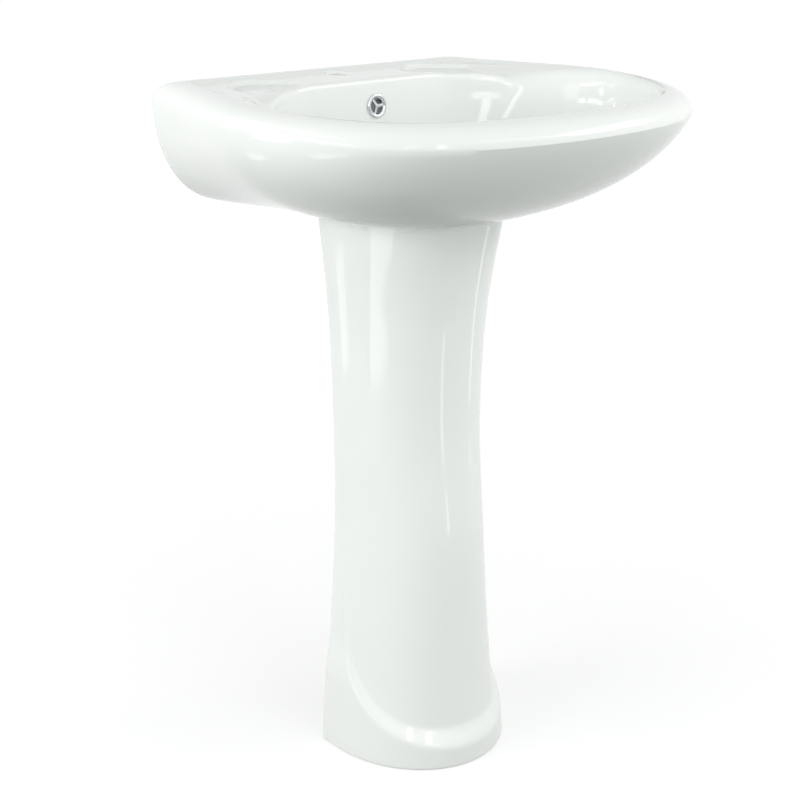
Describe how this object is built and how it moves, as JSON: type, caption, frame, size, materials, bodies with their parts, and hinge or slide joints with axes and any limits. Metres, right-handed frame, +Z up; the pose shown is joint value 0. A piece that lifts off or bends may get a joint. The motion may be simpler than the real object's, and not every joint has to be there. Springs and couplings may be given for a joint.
{
  "type": "pedestal sink",
  "caption": "White vitreous china washbasin with tap ledge and soap hollows on a hollow column, with overflow cover, push-button waste and trap.",
  "frame": {"origin": "on the floor, under the middle of the basin's width and depth", "axes": "+X along the wall, +Y into the wall behind the basin, +Z up"},
  "size_m": [0.56, 0.485, 0.816],
  "materials": {
    "glazed_china": "glossy fired glaze",
    "polished_chrome": "mirror plating over brass",
    "cast_brass": "machined",
    "black_rubber": "moulded, matt",
    "white_nylon": "moulded nylon",
    "spring_steel": "stainless"
  },
  "bodies": {
    "sink": {"basin": "glazed_china", "column": "glazed_china", "overflow_cover": "polished_chrome", "overflow_sleeve": "white_nylon", "waste_flange_seal": "black_rubber", "waste_body": "polished_chrome", "waste_taper_gasket": "black_rubber", "waste_friction_washer": "white_nylon", "waste_locknut": "cast_brass", "stopper_cartridge": "white_nylon", "stopper_spring": "spring_steel", "tailpiece": "polished_chrome", "trap_inlet_nut": "polished_chrome", "trap_inlet_washer": "black_rubber", "trap_bend": "polished_chrome", "trap_outlet_nut": "polished_chrome", "trap_outlet_washer": "black_rubber", "trap_arm": "polished_chrome"},
    "stopper": {"stopper_cap": "polished_chrome", "stopper_seal": "black_rubber", "stopper_stem": "spring_steel"}
  },
  "joints": [
    {"name": "stopper_slide", "type": "slide", "parent": "sink", "child": "stopper", "axis": [0, 0, 1], "range_m": [0, 0.009], "deforming": ["stopper_spring"]}
  ]
}
